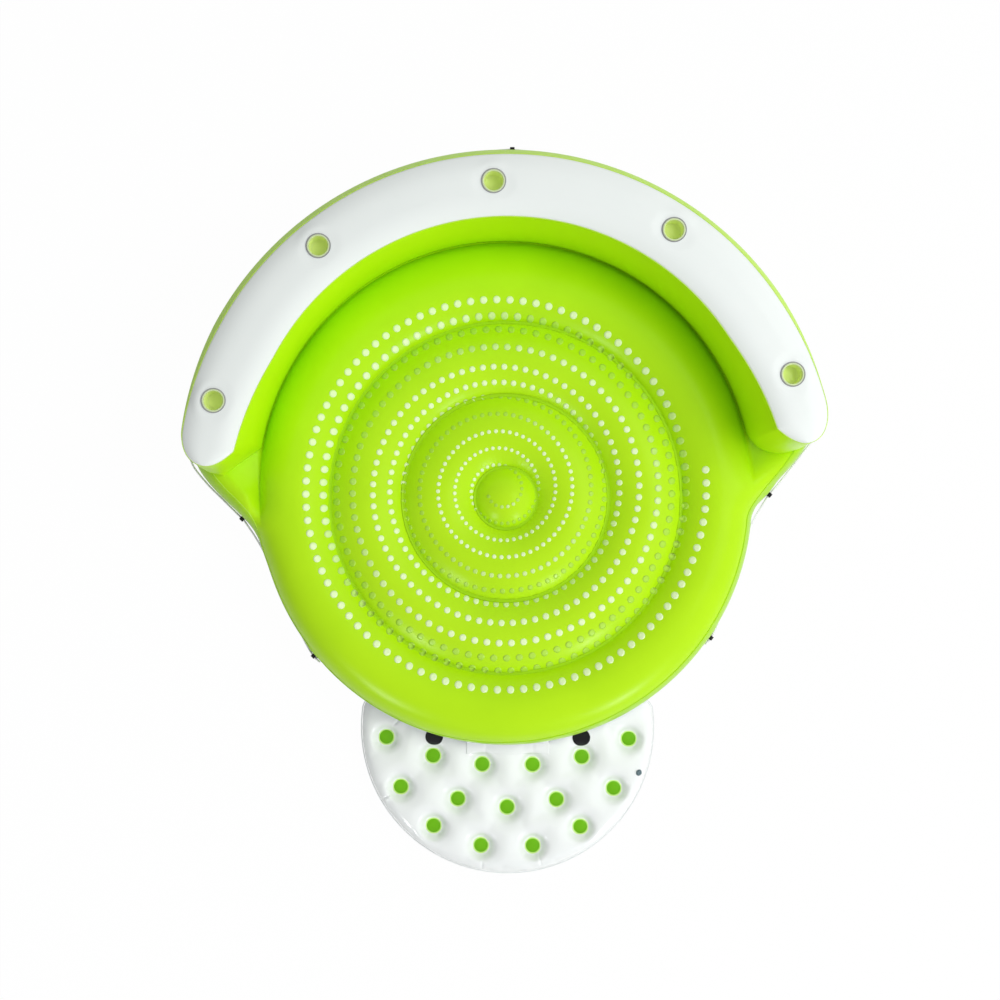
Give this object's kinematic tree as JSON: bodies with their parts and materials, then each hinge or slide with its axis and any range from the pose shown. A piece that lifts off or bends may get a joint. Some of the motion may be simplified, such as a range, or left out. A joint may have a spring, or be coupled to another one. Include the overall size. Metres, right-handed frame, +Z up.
{
  "type": "inflatable lounge raft",
  "caption": "Round inflatable lounge raft with a ringed lime green floor, a C-shaped backrest with cup holders and a white boarding pad on a soft hinge",
  "frame": {"origin": "centre of the round floor on the ground plane, on the hull's flat underside", "axes": "+X to the right cup arm as seen from the pad, +Y from the boarding pad to the backrest, +Z up"},
  "size_m": [2.6749, 3.0746, 0.8066],
  "materials": {
    "lime_vinyl": "satin",
    "white_vinyl": "satin",
    "weld_lime": "satin",
    "grey_vinyl": "knurled",
    "well_vinyl": "translucent",
    "black_vinyl": "satin",
    "valve_teal": "translucent",
    "rope_white": "braided"
  },
  "bodies": {
    "root": {"hull_deck": "lime_vinyl", "floor_ring_middle": "lime_vinyl", "floor_ring_inner": "lime_vinyl", "floor_dome": "lime_vinyl", "backrest_wall": "lime_vinyl", "hull_bottom": "white_vinyl", "backrest_panel_right": "white_vinyl", "backrest_panel_back": "white_vinyl", "backrest_panel_left": "white_vinyl", "pad_hinge_flap_hull": "white_vinyl", "floor_beam_outer": "white_vinyl", "floor_beam_middle": "white_vinyl", "floor_beam_inner": "white_vinyl", "cup_well_1": "well_vinyl", "cup_well_2": "well_vinyl", "cup_well_3": "well_vinyl", "cup_well_4": "well_vinyl", "cup_well_5": "well_vinyl", "cup_ring_1": "grey_vinyl", "cup_ring_2": "grey_vinyl", "cup_ring_3": "grey_vinyl", "cup_ring_4": "grey_vinyl", "cup_ring_5": "grey_vinyl", "rope_guide_1": "black_vinyl", "rope_guide_2": "black_vinyl", "rope_guide_3": "black_vinyl", "rope_guide_4": "black_vinyl", "rope_guide_5": "black_vinyl", "rope_guide_6": "black_vinyl", "rope_guide_7": "black_vinyl", "rope_guide_8": "black_vinyl", "rope_guide_9": "black_vinyl", "hull_valve_base": "valve_teal", "backrest_valve_base": "valve_teal", "grab_rope": "rope_white", "rope_knot_left": "rope_white", "rope_knot_right": "rope_white"},
    "boarding_pad": {"boarding_pad": "white_vinyl", "pad_weld_disc_01": "weld_lime", "pad_weld_disc_02": "weld_lime", "pad_weld_disc_03": "weld_lime", "pad_weld_disc_04": "weld_lime", "pad_weld_disc_05": "weld_lime", "pad_weld_disc_06": "weld_lime", "pad_weld_disc_07": "weld_lime", "pad_weld_disc_08": "weld_lime", "pad_weld_disc_09": "weld_lime", "pad_weld_disc_10": "weld_lime", "pad_weld_disc_11": "weld_lime", "pad_weld_disc_12": "weld_lime", "pad_weld_disc_13": "weld_lime", "pad_weld_disc_14": "weld_lime", "pad_weld_disc_15": "weld_lime", "pad_badge_disc_left": "black_vinyl", "pad_badge_disc_right": "black_vinyl", "pad_hinge_flap_pad": "white_vinyl", "pad_valve_base": "valve_teal"},
    "hull_valve_cap": {"hull_valve_cap": "valve_teal"},
    "backrest_valve_cap": {"backrest_valve_cap": "valve_teal"},
    "pad_valve_cap": {"pad_valve_cap": "valve_teal"}
  },
  "joints": [
    {"name": "pad_fold", "type": "hinge", "parent": "root", "child": "boarding_pad", "pos_m": [-0.03661, -1.06154, 0.1138], "axis": [-0.9986, 0.0523, 0], "range_deg": [0, 85]},
    {"name": "hull_valve_flip", "type": "hinge", "parent": "root", "child": "hull_valve_cap", "pos_m": [-0.90981, 1.06485, 0.25894], "axis": [0.7381, 0.6747, 0], "range_deg": [0, 120]},
    {"name": "backrest_valve_flip", "type": "hinge", "parent": "root", "child": "backrest_valve_cap", "pos_m": [1.00915, 0.97366, 0.47772], "axis": [0.6568, -0.7541, 0], "range_deg": [0, 120]},
    {"name": "pad_valve_flip", "type": "hinge", "parent": "boarding_pad", "child": "pad_valve_cap", "pos_m": [0.51741, -1.2154, 0.11308], "axis": [-0.3755, -0.9268, 0], "range_deg": [0, 120]}
  ]
}
